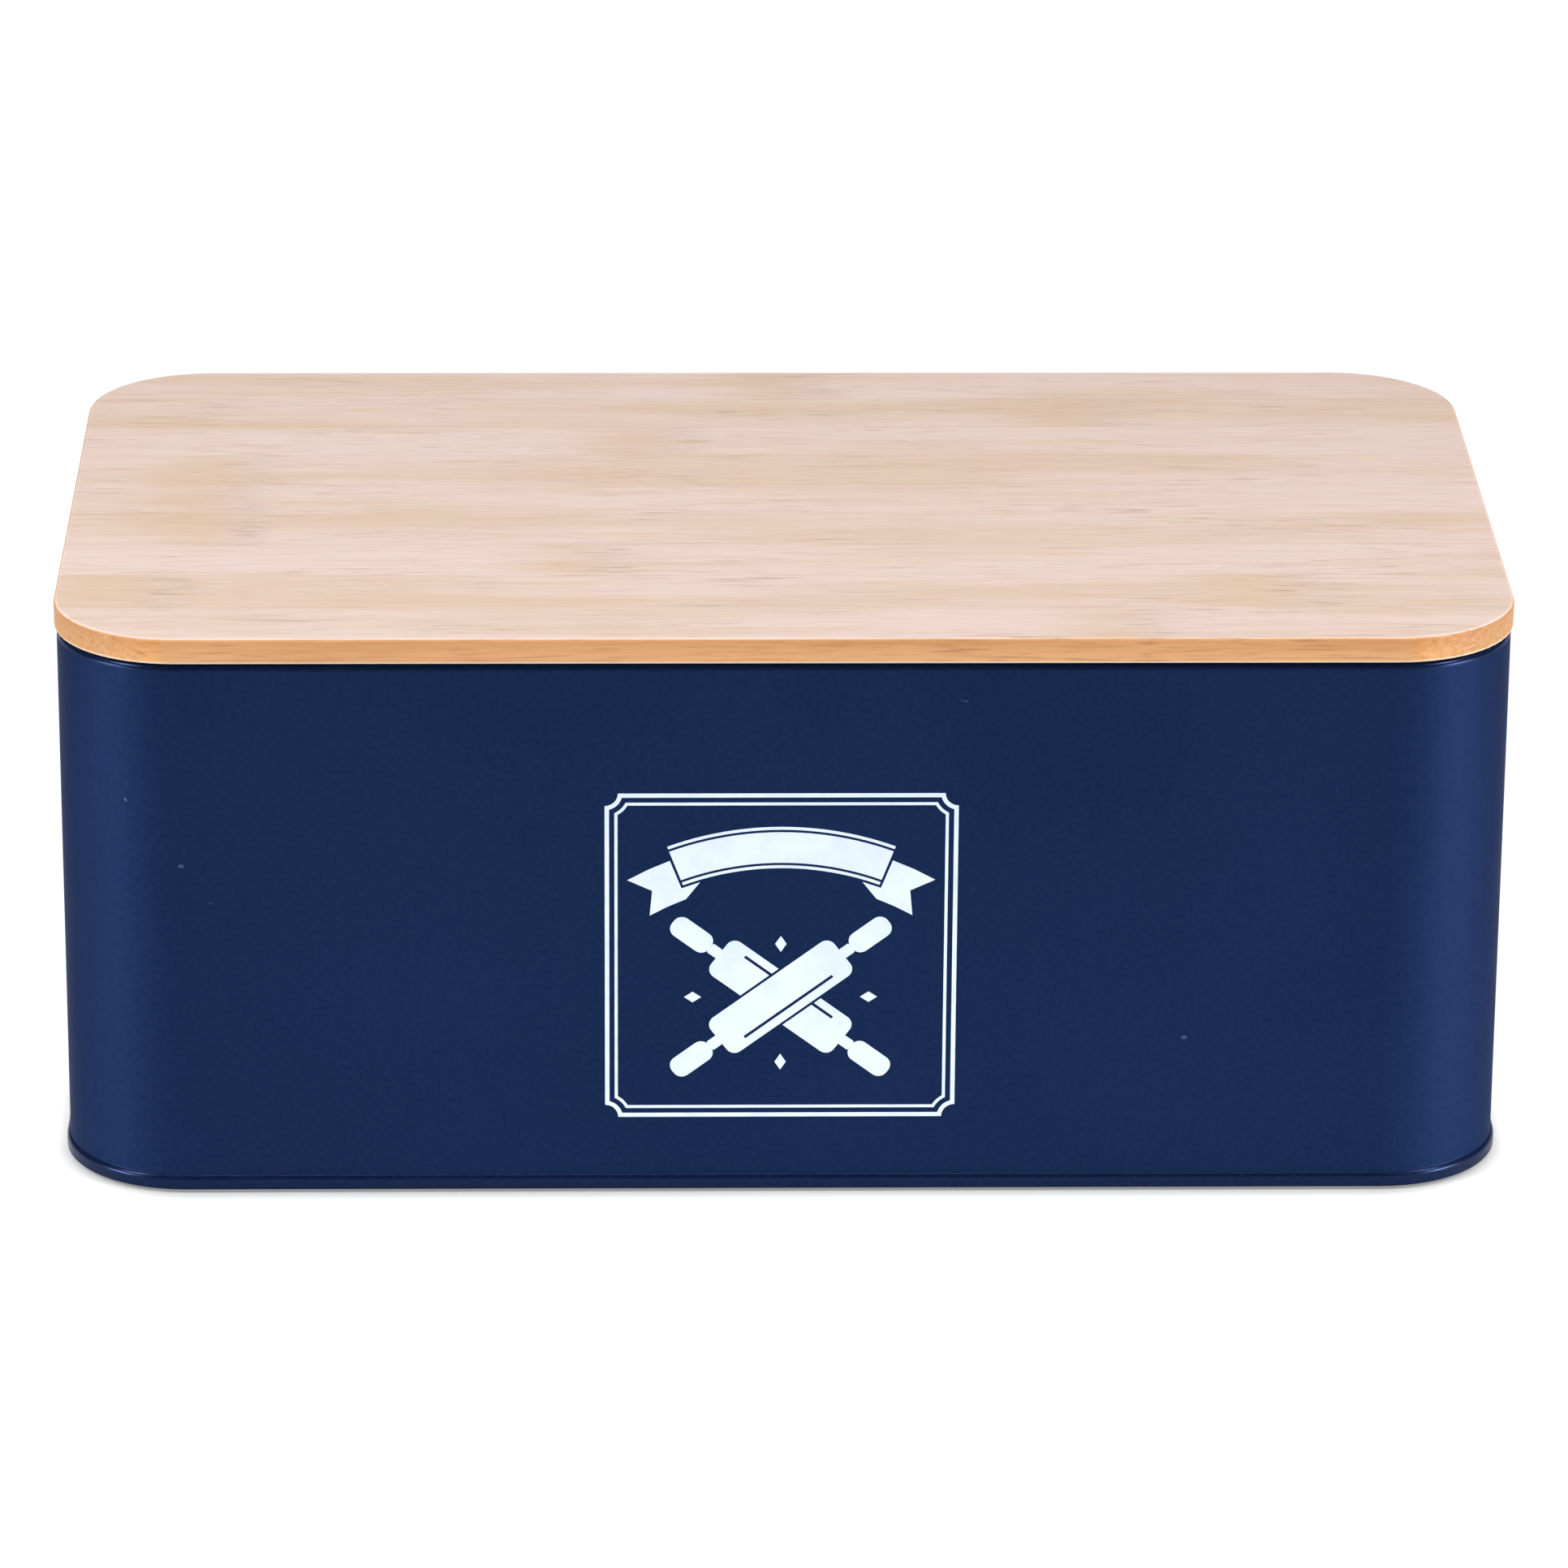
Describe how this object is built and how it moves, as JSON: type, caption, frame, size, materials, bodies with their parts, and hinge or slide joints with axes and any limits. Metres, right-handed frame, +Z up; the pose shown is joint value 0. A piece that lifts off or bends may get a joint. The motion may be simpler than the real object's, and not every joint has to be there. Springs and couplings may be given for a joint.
{
  "type": "bread box",
  "caption": "Low rounded tinplate bread box with a rolled rim and a beaded foot, closed by a flat lift-off bamboo lid that plugs into the rim.",
  "frame": {"origin": "on the counter, under the middle of the box", "axes": "+X to the right along the front, +Y to the back, +Z up"},
  "size_m": [0.3316, 0.1916, 0.1349],
  "materials": {
    "navy_coat": "satin",
    "bamboo_upper": "satin",
    "bamboo_plug": "satin",
    "silicone": "matte"
  },
  "bodies": {
    "box": {"wall_sheet": "navy_coat", "base_panel": "navy_coat", "pad_front_left": "silicone", "pad_front_right": "silicone", "pad_rear_left": "silicone", "pad_rear_right": "silicone"},
    "lid": {"lid_upper_slat_1": "bamboo_upper", "lid_upper_slat_2": "bamboo_upper", "lid_upper_slat_3": "bamboo_upper", "lid_upper_slat_4": "bamboo_upper", "lid_upper_slat_5": "bamboo_upper", "lid_upper_slat_6": "bamboo_upper", "lid_upper_slat_7": "bamboo_upper", "lid_upper_slat_8": "bamboo_upper", "lid_upper_slat_9": "bamboo_upper", "lid_plug_slat_1": "bamboo_plug", "lid_plug_slat_2": "bamboo_plug", "lid_plug_slat_3": "bamboo_plug", "lid_plug_slat_4": "bamboo_plug", "lid_plug_slat_5": "bamboo_plug", "lid_plug_slat_6": "bamboo_plug", "lid_plug_slat_7": "bamboo_plug", "lid_plug_slat_8": "bamboo_plug"}
  },
  "joints": [
    {"name": "lid_lift", "type": "slide", "parent": "box", "child": "lid", "axis": [0, 0, 1], "range_m": [0, 0.25]}
  ]
}
